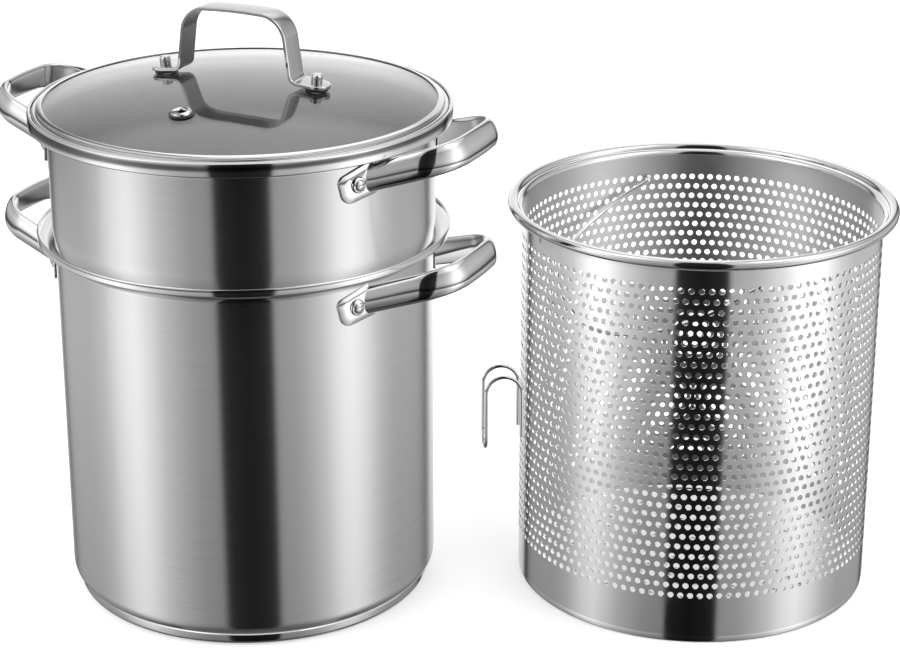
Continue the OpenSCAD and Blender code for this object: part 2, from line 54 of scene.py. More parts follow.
# Studio: the set stands on white paper inside a wide ring of soft panels. The panels are bright on both
# sides of the camera, and a dark gap with the camera in it makes the black stripe down each vessel.
def linear(hex_colour):
    """A colour written as sRGB hex, in the linear light that a shader works in."""
    parts = [int(hex_colour[i:i + 2], 16) / 255 for i in (0, 2, 4)]
    return tuple(c / 12.92 if c <= 0.04045 else ((c + 0.055) / 1.055) ** 2.4 for c in parts) + (1.0,)


def new_material(name):
    """An empty node material."""
    material = bpy.data.materials.new(name)
    material.use_nodes = True
    material.node_tree.nodes.clear()
    return material


def add(material, kind, settings=None, stops=(), **inputs):
    """Adds one shader node. settings are its own properties, stops a colour ramp's positions and greys, and
    inputs its sockets, by name or as i and a number: a value or another socket."""
    node = material.node_tree.nodes.new(kind)
    for key, value in (settings or {}).items():
        setattr(node, key, value)
    for key, value in inputs.items():
        socket = node.inputs[int(key[1:]) if key[0] == "i" and key[1:].isdigit() else key.replace("_", " ")]
        if isinstance(value, bpy.types.NodeSocket):
            material.node_tree.links.new(value, socket)
        else:
            socket.default_value = value
    for _ in stops[2:]:
        node.color_ramp.elements.new(0.5)
    for i, (position, grey) in enumerate(stops):
        node.color_ramp.elements[i].position = position
        node.color_ramp.elements[i].color = (grey, grey, grey, 1)
    return node


def backdrop_rays(owner):
    """1 for the rays that see the white backdrop: from the camera, or by way of metal or glass."""
    seen = add(owner, "ShaderNodeLightPath")
    mirrored = add(owner, "ShaderNodeMath", {"operation": "ADD", "use_clamp": True},
                   i0=seen.outputs["Is Camera Ray"], i1=seen.outputs["Is Glossy Ray"])
    return add(owner, "ShaderNodeMath", {"operation": "ADD", "use_clamp": True},
               i0=mirrored.outputs[0], i1=seen.outputs["Is Transmission Ray"]).outputs[0]


floor_size, floor_drop = 14, 0.0003
paper = new_material("white paper sweep")
sheet_white = add(paper, "ShaderNodeBsdfDiffuse", Color=linear("fbfbfb"))
glow = add(paper, "ShaderNodeEmission", Color=(1, 1, 1, 1), Strength=0.42)
lit = add(paper, "ShaderNodeAddShader", i0=sheet_white.outputs[0], i1=glow.outputs[0])
floor_mix = add(paper, "ShaderNodeMixShader", Fac=backdrop_rays(paper), i1=sheet_white.outputs[0],
                i2=lit.outputs[0])
add(paper, "ShaderNodeOutputMaterial", Surface=floor_mix.outputs[0])
bpy.ops.object.select_all(action="DESELECT")
bpy.ops.mesh.primitive_plane_add(size=floor_size, location=(0, 0, -floor_drop))
floor = bpy.context.object
floor.name = "floor"
floor.data.materials.append(paper)
# The panels reach below the floor, and metal mirrors them in the floor's place
floor.visible_glossy = False

# Brightness round the ring of panels. Position 0 is behind the set and 1 is at the camera. The panels beside
# the set are a little brighter on the right, and each of their rows holds a position, its left and its right
ring_radius, ring_height, ring_middle = 2.2, 12.0, 1.0
behind = [(0.0, 1.30), (0.135, 1.10), (0.158, 0.40), (0.175, 0.13), (0.192, 0.16), (0.215, 0.45),
          (0.25, 0.62)]
beside = [(0.339, 0.69, 0.72), (0.422, 0.74, 0.76), (0.494, 0.95, 1.00), (0.561, 1.50, 1.53),
          (0.622, 1.76, 1.90), (0.678, 1.37, 1.65), (0.728, 0.98, 1.17), (0.783, 0.76, 0.87),
          (0.833, 0.58, 0.67), (0.878, 0.53, 0.62), (0.902, 0.50, 0.58)]
camera_gap = [(0.914, 0.03), (1.0, 0.015)]
# Brightness by height, from 5 m below the table (0) to 7 m above it (1): the panels fade downwards, a dark
# line runs just below the table's height, and they are light above it and brightest overhead
by_height = [(0.0, 0.05), (0.10, 0.10), (0.233, 0.42), (0.3125, 0.55), (0.350, 0.82), (0.368, 1.10),
             (0.384, 1.10), (0.390, 0.22), (0.405, 0.15), (0.412, 0.80), (0.440, 1.15), (0.50, 1.00),
             (0.550, 0.85), (0.571, 1.35), (0.660, 1.55), (1.0, 1.20)]
panel = new_material("soft light panels")
place = add(panel, "ShaderNodeTexCoord")
axes = add(panel, "ShaderNodeSeparateXYZ", Vector=place.outputs["Object"])
away = add(panel, "ShaderNodeMath", {"operation": "ARCTAN2"}, i0=axes.outputs["X"], i1=axes.outputs["Y"])
to_side = add(panel, "ShaderNodeMath", {"operation": "ABSOLUTE"}, i0=away.outputs[0])
position = add(panel, "ShaderNodeMath", {"operation": "DIVIDE"}, i0=to_side.outputs[0], i1=pi)
left_side = add(panel, "ShaderNodeValToRGB", Fac=position.outputs[0],
                stops=behind + [(at, left) for at, left, right in beside] + camera_gap)
right_side = add(panel, "ShaderNodeValToRGB", Fac=position.outputs[0],
                 stops=behind + [(at, right) for at, left, right in beside] + camera_gap)
is_right = add(panel, "ShaderNodeMath", {"operation": "GREATER_THAN"}, i0=axes.outputs["X"], i1=0.0)
round_ring = add(panel, "ShaderNodeMixRGB", Fac=is_right.outputs[0], Color1=left_side.outputs["Color"],
                 Color2=right_side.outputs["Color"])
height = add(panel, "ShaderNodeMapRange", Value=axes.outputs["Z"], From_Min=-ring_height / 2,
             From_Max=ring_height / 2, To_Min=0.0, To_Max=1.0)
up_ring = add(panel, "ShaderNodeValToRGB", Fac=height.outputs[0], stops=by_height)
light = add(panel, "ShaderNodeEmission", Color=round_ring.outputs[0], Strength=up_ring.outputs["Color"])
add(panel, "ShaderNodeOutputMaterial", Surface=light.outputs[0])
bpy.ops.object.select_all(action="DESELECT")
bpy.ops.mesh.primitive_cylinder_add(vertices=128, radius=ring_radius, depth=ring_height,
                                    end_fill_type="NOTHING", location=(camera_at[0], 0.0, ring_middle))
panels = bpy.context.object
panels.name = "light_panels"
panels.data.materials.append(panel)
panels.visible_camera = False
panels.visible_transmission = False
panels.visible_shadow = False

studio = bpy.data.worlds.new("studio")
scene.world = studio
studio.use_nodes = True
sky_light = studio.node_tree.nodes["Background"]
sky_light.inputs["Color"].default_value = (1, 1, 1, 1)
soft_light = add(studio, "ShaderNodeMapRange", Value=backdrop_rays(studio), From_Min=0.0, From_Max=1.0,
                 To_Min=0.62, To_Max=1.0)
# Steeply downwards metal mirrors its own shade on the table
aim = add(studio, "ShaderNodeTexCoord")
aim_axes = add(studio, "ShaderNodeSeparateXYZ", Vector=aim.outputs["Generated"])
shade = add(studio, "ShaderNodeMapRange", Value=aim_axes.outputs["Z"], From_Min=-0.95, From_Max=-0.85,
            To_Min=0.12, To_Max=1.0)
strength = add(studio, "ShaderNodeMath", {"operation": "MULTIPLY"}, i0=soft_light.outputs[0],
               i1=shade.outputs[0])
studio.node_tree.links.new(strength.outputs[0], sky_light.inputs["Strength"])


# Pot body: 1 mm stainless sheet, drawn deep, its lip flared and turned down at the edge. The wall is
# brushed round and round to a satin finish, and the lip is buffed bright.
pot_r, pot_h, sheet, pot_corner = 120.0, 244.0, 1.0, 10.0
base_h, seat_gap = 6.0, 0.1
lip_h, flare_r, lip_edge, lip_fold = 13.0, 8.4, 2.2, 0.9
pot_edge_h = 5.4
lip_out = flare_r + lip_edge + 0.8


def arc(x, z, r, a0, a1, n=10):
    """Points of an arc in the plane of a section, from angle a0 to a1 in degrees."""
    return [(x + r * cos(radians(a0 + (a1 - a0) * i / n)), z + r * sin(radians(a0 + (a1 - a0) * i / n)))
            for i in range(n + 1)]


def lip(r, z, edge_h):
    """Section of a lip: up the outside of its flare, round its turned-down edge and down the inside."""
    half = lip_edge / 2
    flat = z - lip_h + flare_r
    edge_in, edge_mid = r + lip_out - lip_edge, r + lip_out - half
    return (arc(r + flare_r, z - lip_h, flare_r, 180, 92, 12) + [(edge_in, flat)]
            + arc(edge_mid, z - edge_h + half, half, 180, 360, 12)
            + arc(edge_mid, z - half, half, 0, 172, 12)
            + arc(edge_in + lip_fold, flat + sheet + lip_fold, lip_fold, 180, 262, 5)
            + arc(r + flare_r, z - lip_h, flare_r + sheet, 92, 180, 12))


def only(piece):
    """Selects one piece alone and makes it the active one."""
    bpy.ops.object.select_all(action="DESELECT")
    piece.select_set(True)
    bpy.context.view_layer.objects.active = piece


def new_piece(name, points, edges, faces):
    """A piece made of points in metres, the active one."""
    mesh = bpy.data.meshes.new(name)
    mesh.from_pydata(points, edges, faces)
    piece = bpy.data.objects.new(name, mesh)
    scene.collection.objects.link(piece)
    only(piece)
    return piece


def close_up(smooth, merge=0.0):
    """Welds the active piece's points that lie closer than merge, turns its faces outwards and shades its
    edges smooth up to an angle in degrees."""
    bpy.ops.object.mode_set(mode="EDIT")
    bpy.ops.mesh.select_all(action="SELECT")
    if merge:
        bpy.ops.mesh.remove_doubles(threshold=merge)
    bpy.ops.mesh.normals_make_consistent(inside=False)
    bpy.ops.object.mode_set(mode="OBJECT")
    bpy.ops.object.shade_smooth_by_angle(angle=radians(smooth))


def spun(name, outline, steps=180, centre=(0.0, 0.0), closed=True):
    """Turns a section of (radius, height) points, in mm, once round an upright axis."""
    count = len(outline)
    x, y = centre[0] / 1000, centre[1] / 1000
    edges = [(i, (i + 1) % count) for i in range(count if closed else count - 1)]
    piece = new_piece(name, [(x + r / 1000, y, z / 1000) for r, z in outline], edges, [])
    bpy.ops.object.mode_set(mode="EDIT")
    bpy.ops.mesh.select_all(action="SELECT")
    bpy.ops.mesh.spin(steps=steps, angle=2 * pi, center=(x, y, 0), axis=(0, 0, 1))
    close_up(28, 2e-6)
    return piece


def join(name, pieces):
    """Joins pieces to one."""
    bpy.ops.object.select_all(action="DESELECT")
    for piece in pieces:
        piece.select_set(True)
    bpy.context.view_layer.objects.active = pieces[0]
    bpy.ops.object.join()
    bpy.context.object.name = name
    return bpy.context.object


def stands_for(piece, node, material=None, mirrored=True):
    """Hands a finished piece over in place of its CAD node. A piece that isn't mirrored stays out of the
    reflections in the others, as if each vessel stood in the studio by itself."""
    if material:
        piece.data.materials.append(material)
    piece.visible_glossy = mirrored
    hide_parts(node)
    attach(piece, "bail" if node == "basket_bail" else "set")


# Stainless steel brushed on a lathe: lines 0.4 mm apart run round the wall (finer on the real one, but
# these still show). They smear reflections up and down and leave them sharp sideways
line_pitch = 0.0004
satin = new_material("stainless steel, brushed satin")
spot = add(satin, "ShaderNodeTexCoord")
parts = add(satin, "ShaderNodeSeparateXYZ", Vector=spot.outputs["Object"])
around = add(satin, "ShaderNodeMath", {"operation": "ARCTAN2"}, i0=parts.outputs["Y"], i1=parts.outputs["X"])
along = add(satin, "ShaderNodeMath", {"operation": "MULTIPLY"}, i0=around.outputs[0], i1=0.9)
up = add(satin, "ShaderNodeMath", {"operation": "MULTIPLY"}, i0=parts.outputs["Z"], i1=1 / line_pitch)
line_place = add(satin, "ShaderNodeCombineXYZ", X=along.outputs[0], Y=0.0, Z=up.outputs[0])
lines = add(satin, "ShaderNodeTexNoise", Vector=line_place.outputs[0], Scale=1.0, Detail=3.0, Roughness=0.6)
grain = add(satin, "ShaderNodeMapRange", Value=lines.outputs["Fac"], From_Min=0.3, From_Max=0.7,
            To_Min=0.19, To_Max=0.23)
tone = add(satin, "ShaderNodeValToRGB", Fac=lines.outputs["Fac"], stops=[(0.3, 0.61), (0.7, 0.67)])
brush = add(satin, "ShaderNodeBump", Strength=0.02, Distance=0.0002, Height=lines.outputs["Fac"])
way = add(satin, "ShaderNodeTangent", {"direction_type": "RADIAL", "axis": "Z"})
satin_shader = add(satin, "ShaderNodeBsdfPrincipled", Base_Color=tone.outputs["Color"], Metallic=1.0,
                   Roughness=grain.outputs[0], Anisotropic=0.95, Anisotropic_Rotation=0.25,
                   Normal=brush.outputs[0], Tangent=way.outputs[0])
add(satin, "ShaderNodeOutputMaterial", Surface=satin_shader.outputs[0])

# Stainless steel buffed to a mirror: a faint waviness is all that is left of the rolled sheet
mirror = new_material("stainless steel, mirror polished")
spot = add(mirror, "ShaderNodeTexCoord")
waves = add(mirror, "ShaderNodeTexNoise", Vector=spot.outputs["Object"], Scale=60.0, Detail=2.0)
smear = add(mirror, "ShaderNodeMapRange", Value=waves.outputs["Fac"], From_Min=0.3, From_Max=0.7,
            To_Min=0.06, To_Max=0.10)
dent = add(mirror, "ShaderNodeBump", Strength=0.02, Distance=0.0005, Height=waves.outputs["Fac"])
mirror_shader = add(mirror, "ShaderNodeBsdfPrincipled", Base_Color=linear("c9c9ca"), Metallic=1.0,
                    Roughness=smear.outputs[0], Normal=dent.outputs[0])
add(mirror, "ShaderNodeOutputMaterial", Surface=mirror_shader.outputs[0])


def buff(piece, rule):
    """Gives every face whose centre, in mm, meets the rule the mirror polish."""
    piece.data.materials.append(mirror)
    for face in piece.data.polygons:
        if rule(face.center * 1000):
            face.material_index = len(piece.data.materials) - 1


corner_r, corner_z = pot_r - pot_corner, base_h + pot_corner
pot = spun("pot_shell", (
    [(0, base_h), (corner_r, base_h)] + arc(corner_r, corner_z, pot_corner, -90, 0)
    + lip(pot_r, pot_h, pot_edge_h) + arc(corner_r, corner_z, pot_corner - sheet, 0, -90)
    + [(0, base_h + sheet)]), closed=False)
pot.data.materials.append(satin)
buff(pot, lambda centre: centre.z > pot_h - lip_h)
stands_for(pot, "pot_body", mirrored=False)

# Base: an aluminium disc in a polished steel cap with a rounded edge. It is pressed on under the pot's
# bottom and a little way up its corner.
base_wrap, cap_edge, cap_round, cap_in = 1.2, 0.9, 3.5, 114.9
base_r = corner_r + sqrt(pot_corner ** 2 - (pot_corner - base_wrap) ** 2) + cap_edge
base = spun("base_cap", (
    [(0, 0), (base_r - cap_round, 0)] + arc(base_r - cap_round, cap_round, cap_round, -90, 0, 8)
    + [(base_r, base_h + cap_edge), (base_r - 0.4, base_h + base_wrap), (cap_in, base_h + base_wrap),
       (corner_r, base_h - seat_gap), (0, base_h - seat_gap)]), closed=False)
stands_for(base, "pot_base", mirror, mirrored=False)

# Steamer body: the same sheet and finish. Its lower wall is narrower, goes into the pot, and a long
# shoulder seats in the pot's flare. Its bottom is punched with steam holes.
steamer_step, steamer_rise, steamer_drop, steamer_edge_h = 1.8, 78.0, 30.0, 9.0
steamer_low_r, steamer_corner, shoulder_r = 117.1, 8.0, 60.0
bottom_r, steam_pitch, steam_rings, steam_hole_r = 107.0, 19.0, 5, 3.0
steamer_r, lip_z, steamer_z0 = pot_r + steamer_step, pot_h + steamer_rise, pot_h - steamer_drop
shoulder_c = pot_h - lip_h + sqrt((shoulder_r + flare_r + sheet + seat_gap) ** 2
                                  - (shoulder_r + flare_r - steamer_step) ** 2)
shoulder_half = degrees(acos((shoulder_r - steamer_r + steamer_low_r) / shoulder_r))
disc_sides, hole_sides, patch = 180, 10, 12.0


def punched_disc(name, radius, holes, hole_r, z, thickness, centre=(0.0, 0.0)):
    """A flat disc with round holes, its lower face at height z. All in mm."""
    points = [Vector((radius * cos(2 * pi * k / disc_sides), radius * sin(2 * pi * k / disc_sides)))
              for k in range(disc_sides)]
    edges = [(k, (k + 1) % disc_sides) for k in range(disc_sides)]
    step = 2 * pi / hole_sides
    edge = [(hole_r * cos(step * k), hole_r * sin(step * k)) for k in range(hole_sides)]
    for x, y in holes:
        first = len(points)
        points += [Vector((x + a, y + b)) for a, b in edge]
        edges += [(first + k, first + (k + 1) % hole_sides) for k in range(hole_sides)]
    flat, _, faces = delaunay_2d_cdt(points, edges, [], 0, 1e-5)[:3]
    # The faces that fill the holes are dropped. Each face is held against the holes in its own patch of
    # the disc and in those round it
    in_patch = {}
    for x, y in holes:
        in_patch.setdefault((round(x / patch), round(y / patch)), []).append((x, y))
    kept = []
    for face in faces:
        middle = sum((flat[i] for i in face), Vector((0, 0))) / len(face)
        i, j = round(middle.x / patch), round(middle.y / patch)
        close = [hole for a in (i - 1, i, i + 1) for b in (j - 1, j, j + 1)
                 for hole in in_patch.get((a, b), [])]
        if all(hypot(middle.x - x, middle.y - y) > hole_r * 0.94 for x, y in close):
            upwards = (flat[face[1]] - flat[face[0]]).cross(flat[face[2]] - flat[face[0]]) > 0
            kept.append(face if upwards else face[::-1])
    disc = new_piece(name, [((p.x + centre[0]) / 1000, (p.y + centre[1]) / 1000, (z + thickness) / 1000)
                            for p in flat], [], kept)
    skin = disc.modifiers.new("sheet", "SOLIDIFY")
    skin.thickness = thickness / 1000
    skin.offset = -1
    bpy.ops.object.modifier_apply(modifier="sheet")
    bpy.ops.object.shade_smooth_by_angle(angle=radians(40))
    return disc


def rings_of_holes(pitch, count):
    """Centres of holes in rings round a middle hole, six more in each ring."""
    return [(0.0, 0.0)] + [(ring * pitch * cos(pi / 3 * i / ring), ring * pitch * sin(pi / 3 * i / ring))
                           for ring in range(1, count + 1) for i in range(6 * ring)]


low_r, low_z = steamer_low_r - steamer_corner, steamer_z0 + steamer_corner
steamer_wall = spun("steamer_wall", (
    [(bottom_r, steamer_z0), (low_r, steamer_z0)] + arc(low_r, low_z, steamer_corner, -90, 0)
    + arc(steamer_r - shoulder_r, shoulder_c, shoulder_r, -shoulder_half, 0, 14)
    + lip(steamer_r, lip_z, steamer_edge_h)
    + arc(steamer_r - shoulder_r, shoulder_c, shoulder_r - sheet, 0, -shoulder_half, 14)
    + arc(low_r, low_z, steamer_corner - sheet, 0, -90) + [(bottom_r, steamer_z0 + sheet)]))
steamer_wall.data.materials.append(satin)
steamer_bottom = punched_disc("steamer_bottom", bottom_r, rings_of_holes(steam_pitch, steam_rings),
                              steam_hole_r, steamer_z0, sheet)
steamer_bottom.data.materials.append(satin)
steamer = join("steamer_shell", [steamer_wall, steamer_bottom])
buff(steamer, lambda centre: centre.z > lip_z - lip_h)
stands_for(steamer, "steamer_body")

# Side handles: each is a hollow steel band, pressed to a bulging section and bent to a loop that rises
# outwards, with a flat foot at each end that lies on the wall. Buffed to a mirror.
handle_turn, handle_reach, rivet_span, rivet_drop = -24.0, 165.0, 118.0, 24.0
band_h, band_t, handle_slope, foot_t, foot_gap = 17.5, 5.6, 17.0, 1.8, 0.3
band_foot, loop_corner, loop_half, end_bow = 10.0, 24.0, 38.0, 3.0
band_sides, outer_share, inner_share, leg_bulge = 40, 0.62, 0.38, 0.45
foot_tip = radians(handle_slope * 0.8)
foot_corners = [((band_foot + 2, band_h / 2 + 2), 0.5), ((-13, 9), 5), ((-13, -9), 7),
                ((band_foot + 2, -band_h / 2 - 2), 0.5)]


def rounded(before, corner, after, radius, steps):
    """Points of an arc that rounds the corner of a line from one point by way of a second to a third."""
    u, w = (before - corner).normalized(), (after - corner).normalized()
    half = acos(max(-1, min(1, u.dot(w)))) / 2
    centre = corner + (u + w).normalized() * radius / sin(half)
    start = corner + u * radius / tan(half) - centre
    whole = (-1 if u.x * w.y - u.y * w.x > 0 else 1) * (pi - 2 * half)
    return [centre + Matrix.Rotation(whole * i / steps, 2) @ start for i in range(steps + 1)]


def sleeve(rings, n):
    """Faces between each ring of n points and the next."""
    return [(i * n + k, i * n + (k + 1) % n, (i + 1) * n + (k + 1) % n, (i + 1) * n + k)
            for i in range(rings - 1) for k in range(n)]


def capped_sleeve(rings, n):
    """The same with a face over each end."""
    return sleeve(rings, n) + [tuple(range(n)), tuple(range((rings - 1) * n, rings * n))]


def handle_band(r, rivet_z):
    """Points and faces of a handle's band, whose ends sink into its feet on a wall of outside radius r."""
    start_angle = rivet_span / 2 / r - band_foot / r
    x0, y0 = r * cos(start_angle), r * sin(start_angle)
    slope = radians(handle_slope)
    reach = (handle_reach - band_t / 2 - x0) / cos(slope) - end_bow
    p, v, w, q = Vector((0, y0)), Vector((reach, loop_half)), Vector((reach, -loop_half)), Vector((0, -y0))
    path = ([p.lerp(v, t / 20) for t in range(0, 10)] + rounded(p, v, w, loop_corner, 22)
            + [Vector((reach, t)) for t in (8, 4, 0, -4, -8)] + rounded(v, w, q, loop_corner, 22)
            + [q.lerp(w, t / 20) for t in range(9, -1, -1)])
    path = [Vector((e.x + end_bow * max(0, 1 - (e.y / loop_half) ** 2), e.y)) for e in path]
    band_z = rivet_z + band_foot * sin(foot_tip)
    up = Vector((-sin(slope), 0, cos(slope)))
    verts = []
    for i, point in enumerate(path):
        t = (path[min(i + 1, len(path) - 1)] - path[max(i - 1, 0)]).normalized()
        out = Vector((-t.y, t.x))
        # The legs bulge more than the grip
        full = 1 + leg_bulge * max(0.0, min(1.0, (reach - point.x) / reach * 1.3 - 0.3))
        for k in range(band_sides):
            c, s = cos(2 * pi * k / band_sides), sin(2 * pi * k / band_sides)
            across = outer_share * band_t * c * full if c > 0 else -inner_share * band_t * abs(c) ** 0.6
            high = band_h / 2 * (1 if s > 0 else -1) * abs(s) ** 0.92
            e = point + out * across
            at = Vector((x0 + e.x * cos(slope), e.y, band_z + e.x * sin(slope))) + up * high
            if i in (0, len(path) - 1):
                # The end is drawn on, along the leg, to a cylinder inside the foot
                d = Vector((cos(slope) * t.x, t.y, sin(slope) * t.x)) * (1 if i == 0 else -1)
                aa, bb = d.x ** 2 + d.y ** 2, at.x * d.x + at.y * d.y
                cc = at.x ** 2 + at.y ** 2 - (r + foot_t * 0.6) ** 2
                at += d * (-bb + sqrt(bb * bb - aa * cc)) / aa
            verts.append(at / 1000)
    return verts, capped_sleeve(len(path), band_sides)


def handle_foot(r, rivet_z, side):
    """Points and faces of a foot: a plate bent to the wall, with a soft edge. side is 1 or -1."""
    corners = [Vector(corner) for corner, _ in foot_corners]
    soft = []
    for i, corner in enumerate(corners):
        soft += rounded(corners[i - 1], corner, corners[(i + 1) % len(corners)], foot_corners[i][1], 8)
    soft = [Matrix.Rotation(foot_tip, 2) @ c for c in soft]
    centre = sum(soft, Vector((0, 0))) / len(soft)
    n = len(soft)
    levels = [(1.0, 0.0), (1.0, foot_t - 0.6), (0.985, foot_t - 0.2), (0.955, foot_t), (0.6, foot_t),
              (0.25, foot_t)]
    verts = []
    for share, rise in levels + [(0.0, foot_t)]:
        for c in soft if share else [centre]:
            e = centre + (c - centre) * share
            angle = side * (rivet_span / 2 / r - e.x / r)
            verts.append(Vector(((r + rise) * cos(angle), (r + rise) * sin(angle), rivet_z + e.y)) / 1000)
    top = (len(levels) - 1) * n
    faces = sleeve(len(levels), n) + [(top + k, top + (k + 1) % n, top + n) for k in range(n)]
    return verts, faces + [tuple(range(n))]


def side_handle(name, wall, z, turn):
    """A handle on a wall of outside radius wall, under a lip at height z."""
    r, rivet_z = wall + foot_gap, z - rivet_drop
    verts, faces = handle_band(r, rivet_z)
    for side in (-1, 1):
        plate, plate_faces = handle_foot(r, rivet_z, side)
        faces += [tuple(len(verts) + i for i in face) for face in plate_faces]
        verts += plate
    turned = Matrix.Rotation(radians(turn), 3, "Z")
    handle = new_piece(name, [turned @ v for v in verts], [], faces)
    close_up(40)
    return handle


for vessel, wall, z in (("pot", pot_r, pot_h), ("steamer", steamer_r, lip_z)):
    for hand, turn in (("right", handle_turn), ("left", handle_turn + 180)):
        stands_for(side_handle(f"{vessel}_loop_{hand}", wall, z, turn), f"{vessel}_handle_{hand}",
                   mirror, mirrored=False)

# Rivets: four steel rivets to a vessel. Their low round heads, each with a groove round its crown, lie on
# the handles' feet, and they are peened flat inside the wall.
rivet_r, head_clear, rivet_inside = 2.5, 0.2, 1.2
head_side = [(0, 2.4), (1.5, 2.3), (2.6, 2.0), (3.2, 1.6), (3.5, 1.2), (3.8, 1.1), (4.5, 1.0), (5.0, 0.6),
             (5.2, 0.0), (0, 0.0)]
for vessel, wall, z in (("pot", pot_r, pot_h), ("steamer", steamer_r, lip_z)):
    heads = []
    face_r = wall + foot_gap + foot_t + seat_gap + head_clear
    inner = wall - sheet - head_clear - face_r
    for turn in (0, 180):
        for side in (-1, 1):
            angle = radians(handle_turn + turn) + side * rivet_span / 2 / (wall + foot_gap)
            outside = spun("rivet", head_side, steps=40, closed=False)
            inside = spun("rivet", [(0, 0), (rivet_r, 0), (rivet_r, inner), (4.46, inner), (4.2, inner - 1.1),
                                    (0, inner - rivet_inside)], steps=32, closed=False)
            for head in (outside, inside):
                head.data.transform(Matrix.Rotation(angle, 4, "Z") @ Matrix.Translation(
                    (face_r / 1000, 0, (z - rivet_drop) / 1000)) @ Matrix.Rotation(radians(90), 4, "Y"))
            heads += [outside, inside]
    stands_for(join(f"{vessel}_rivet_heads", heads), f"{vessel}_rivets", mirror)

# Lid glass: 4 mm tempered glass, lightly smoked, sagged in a mould to a shallow dome and drilled for two
# bolts and a vent.
rim_bead, rim_inset, rim_sheet, rim_cover = 1.7, 4.4, 0.8, 2.6
rim_r = steamer_r + lip_out - rim_inset
rim_z = lip_z - lip_h + sqrt((flare_r + sheet + rim_bead + seat_gap) ** 2
                             - (steamer_r + flare_r - rim_r) ** 2)
glass_t, dome_h = 4.0, 15.0
glass_r = rim_r - rim_bead - rim_sheet + 0.1
glass_z = rim_z + glass_t - 1
dome_r = (glass_r ** 2 + dome_h ** 2) / (2 * dome_h)
dome_c = glass_z + dome_h - dome_r
bolt_at, bolt_hole_r, vent_at, vent_hole_r = 53.0, 4.0, 74.0, 4.5
vent_turn = handle_turn - 90


def dome(r, lift=0.0):
    """Height of the dome's outer face at a distance from its axis, raised by lift along the normal."""
    return dome_c + sqrt((dome_r + lift) ** 2 - r ** 2)


def on_dome(piece, distance, turn):
    """Puts a piece made at the origin on the lid, square to the glass."""
    tipped = Matrix.Rotation(asin(distance / dome_r), 4, "Y") @ Matrix.Translation((0, 0, dome_r / 1000))
    piece.data.transform(
        Matrix.Rotation(radians(turn), 4, "Z") @ Matrix.Translation((0, 0, dome_c / 1000)) @ tipped)
    return piece


smoked = new_material("tempered soda-lime glass, lightly smoked")
smoked_shader = add(smoked, "ShaderNodeBsdfPrincipled", Base_Color=linear("c4c4c5"), Roughness=0.0, IOR=1.52,
                    Transmission_Weight=1.0)
add(smoked, "ShaderNodeOutputMaterial", Surface=smoked_shader.outputs[0])
stops = [glass_r * i / 24 for i in range(25)]
glass = spun("glass_dome", [(r, dome(r)) for r in stops] + [(glass_r, dome(glass_r, -glass_t))]
             + [(r, dome(r, -glass_t)) for r in reversed(stops[:-1])], closed=False)
drills = []
for distance, turn, hole_r in ((bolt_at, handle_turn, bolt_hole_r), (bolt_at, handle_turn + 180, bolt_hole_r),
                               (vent_at, vent_turn, vent_hole_r)):
    bpy.ops.object.select_all(action="DESELECT")
    bpy.ops.mesh.primitive_cylinder_add(vertices=32, radius=hole_r / 1000, depth=4 * glass_t / 1000)
    drills.append(on_dome(bpy.context.object, distance, turn))
drill = join("drill", drills)
only(glass)
bore = glass.modifiers.new("bore", "BOOLEAN")
bore.object = drill
bore.solver = "EXACT"
bpy.ops.object.modifier_apply(modifier="bore")
bpy.data.objects.remove(drill)
only(glass)
bpy.ops.object.shade_smooth_by_angle(angle=radians(28))
stands_for(glass, "lid_glass", smoked)

# Lid rim: one strip of bright stainless sheet, folded over and under the edge of the glass, with a hollow
# bead rolled in it that sits on the steamer's lip.
cover = glass_r - rim_cover
web = glass_r + seat_gap + rim_sheet
over, under, lowest = seat_gap, -glass_t - seat_gap, -glass_t - seat_gap - rim_sheet
bead_turn = degrees(acos((rim_r - web) / rim_bead))
rim = spun("glass_rim", [(cover, dome(cover, over)), (cover, dome(cover, 0.6)),
                         (cover + 0.3, dome(cover + 0.3, 0.85)), (web - 0.7, dome(web - 0.7, 0.88)),
                         (web, dome(web, 0.5))]
           + arc(rim_r, rim_z, rim_bead, 180 - bead_turn, bead_turn - 180, 24)
           + [(web, glass_z - 4.6), (web - 0.3, glass_z - 4.9), (cover, dome(cover, lowest)),
              (cover, dome(cover, under)), (glass_r + seat_gap, dome(glass_r + seat_gap, under)),
              (glass_r + seat_gap, dome(glass_r + seat_gap, over))])
stands_for(rim, "lid_rim", mirror)

# Lid handle: a strap of 2.5 mm steel bent to an arch, slightly crowned, satin on its faces and bright along
# its edges, standing on two soft washers and held by two bolts with round heads.
strap_w, strap_t, strap_rise, strap_toe, washer_t = 18.0, 2.5, 61.0, 9.0, 2.0
foot_rise = 2 * seat_gap + washer_t + strap_t / 2
tilt = asin(bolt_at / dome_r)
strap_foot = Vector(((dome_r + foot_rise) * sin(tilt), dome_c + (dome_r + foot_rise) * cos(tilt)))
slide = Vector((cos(tilt), -sin(tilt)))
top_z = lip_z + strap_rise - strap_t / 2
crown, shoulder, ankle = Vector((0, top_z)), Vector((34, top_z - 1)), strap_foot - slide * 14
half_line = ([crown, Vector((8, top_z - 0.1))] + rounded(crown, shoulder, ankle, 17, 20)
             + rounded(shoulder, ankle, strap_foot, 5, 10) + [strap_foot]
             + [strap_foot + slide * strap_toe * t for t in (0.35, 0.6, 0.8, 0.92, 0.985, 1.0)])
line = [Vector((-p.x, p.y)) for p in reversed(half_line[1:])] + half_line
across = [-1, -0.97, -0.86, -0.5, 0, 0.5, 0.86, 0.97, 1]
verts = []
